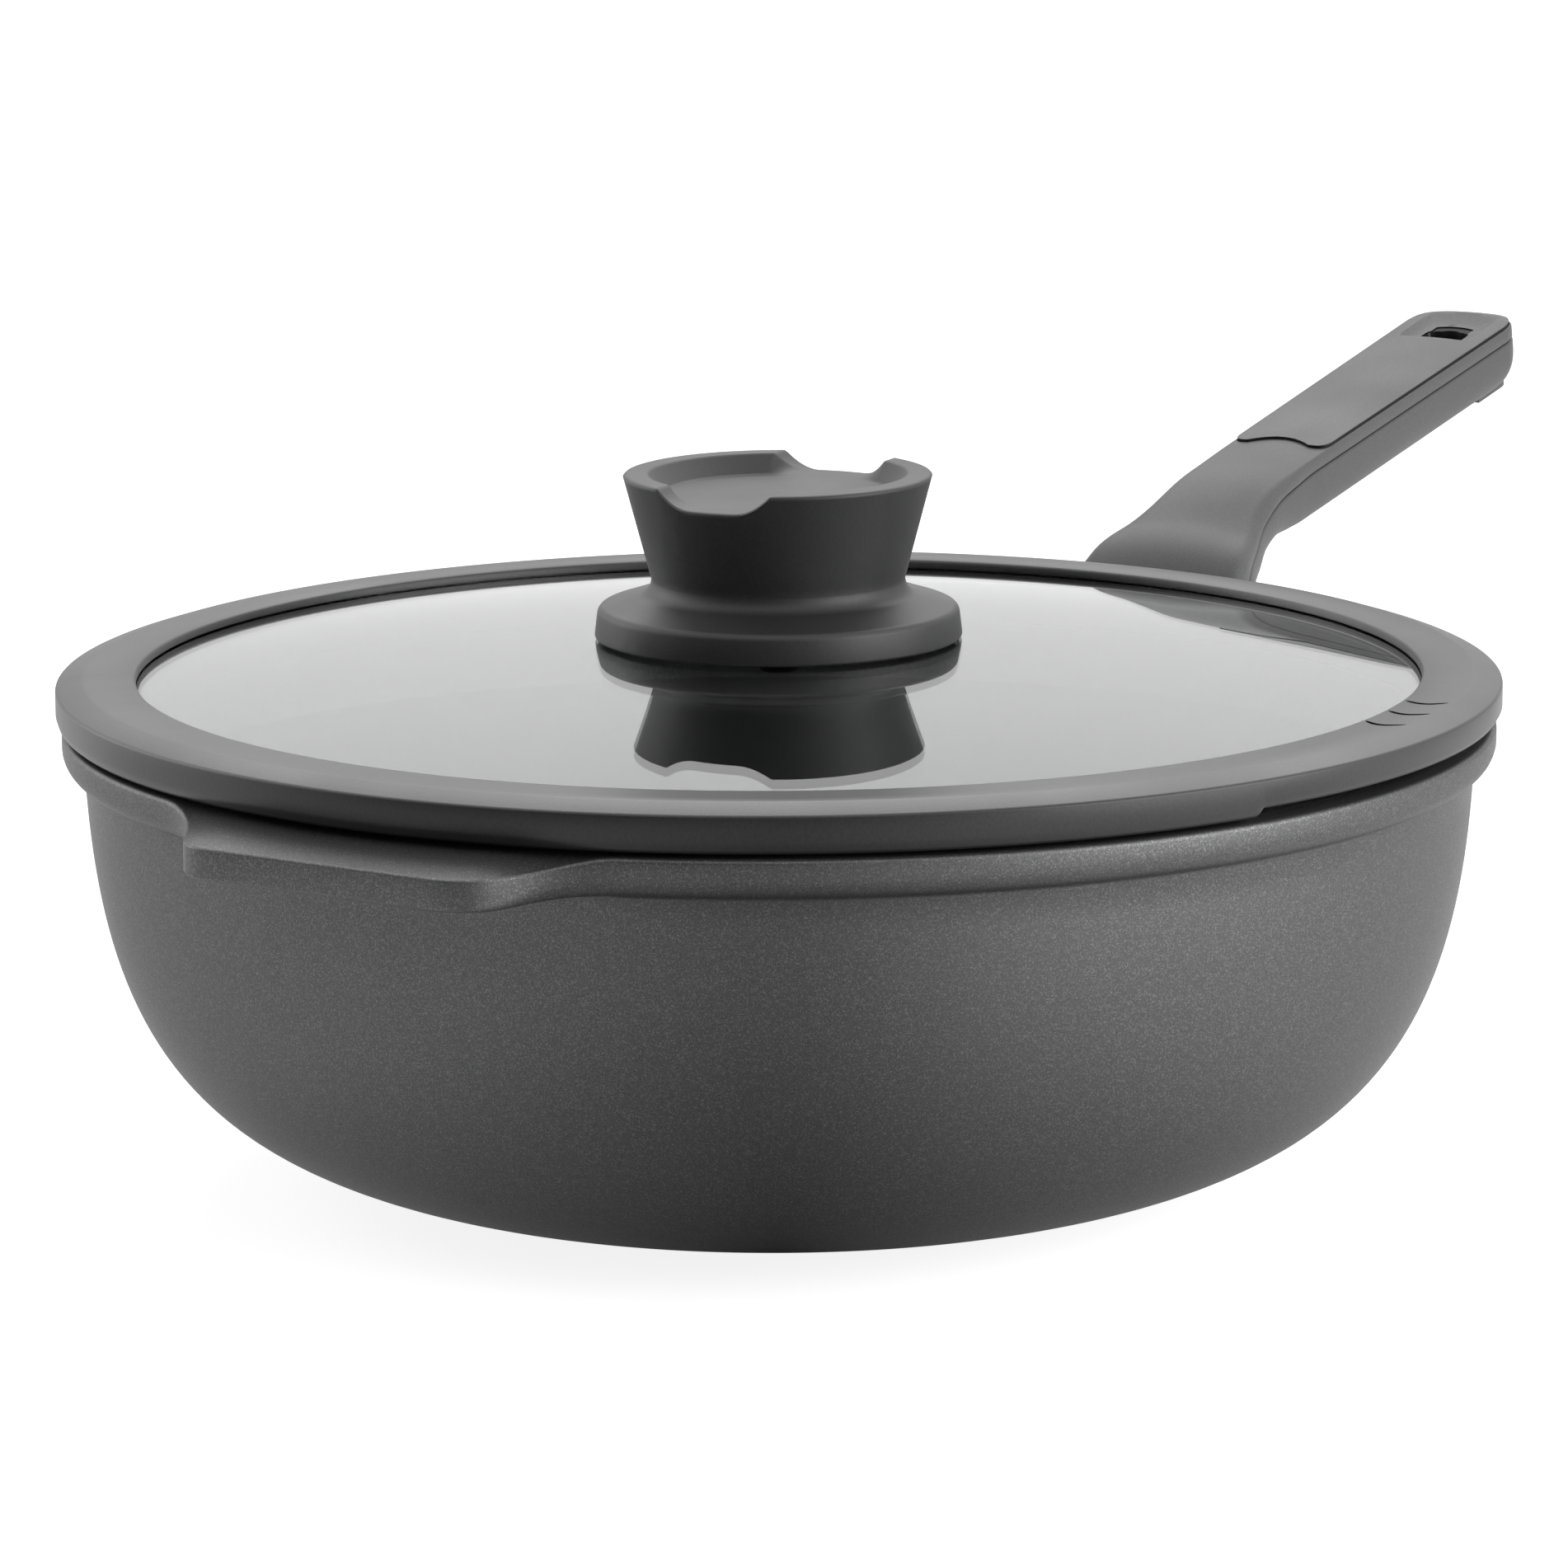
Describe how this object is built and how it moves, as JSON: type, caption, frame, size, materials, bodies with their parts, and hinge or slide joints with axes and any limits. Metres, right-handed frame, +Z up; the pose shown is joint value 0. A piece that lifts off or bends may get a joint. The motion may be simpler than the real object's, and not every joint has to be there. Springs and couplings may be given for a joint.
{
  "type": "wok with lid",
  "caption": "Deep round-sided wok with a long curved handle, a small cast helper handle and a domed glass lid with a silicone rim, a steam vent and a cup-shaped knob.",
  "frame": {"origin": "centre of the flat base, on the surface that the wok stands on", "axes": "+Z up along the bowl's axis, +X along the long handle, so the helper handle is at -X"},
  "size_m": [0.4568, 0.289, 0.1421],
  "materials": {
    "coated_aluminium": "matt metallic non-stick coating with a fine sparkle",
    "steel": "brushed",
    "soft_touch_plastic": "soft-touch matt",
    "pad_silicone": "matt silicone",
    "rim_silicone": "matt silicone",
    "lid_glass": "clear tempered glass",
    "knob_plastic": "soft-touch matt",
    "brass": "turned",
    "seal_rubber": "matt silicone"
  },
  "bodies": {
    "wok": {"wok_body": "coated_aluminium", "induction_base": "steel", "handle_upper_shell": "soft_touch_plastic", "handle_lower_shell": "soft_touch_plastic", "handle_pad": "pad_silicone", "handle_bolt": "steel", "handle_bolt_washer": "steel", "shell_screw_front": "steel", "shell_screw_rear": "steel"},
    "lid": {"lid_rim": "rim_silicone", "lid_glass": "lid_glass", "knob_body": "knob_plastic", "knob_insert": "brass", "knob_gasket": "seal_rubber", "glass_grommet": "seal_rubber", "knob_washer": "steel", "knob_screw": "steel"}
  },
  "joints": [
    {"name": "lid_lift", "type": "slide", "parent": "wok", "child": "lid", "axis": [0, 0, 1], "range_m": [0, 0.15]}
  ]
}
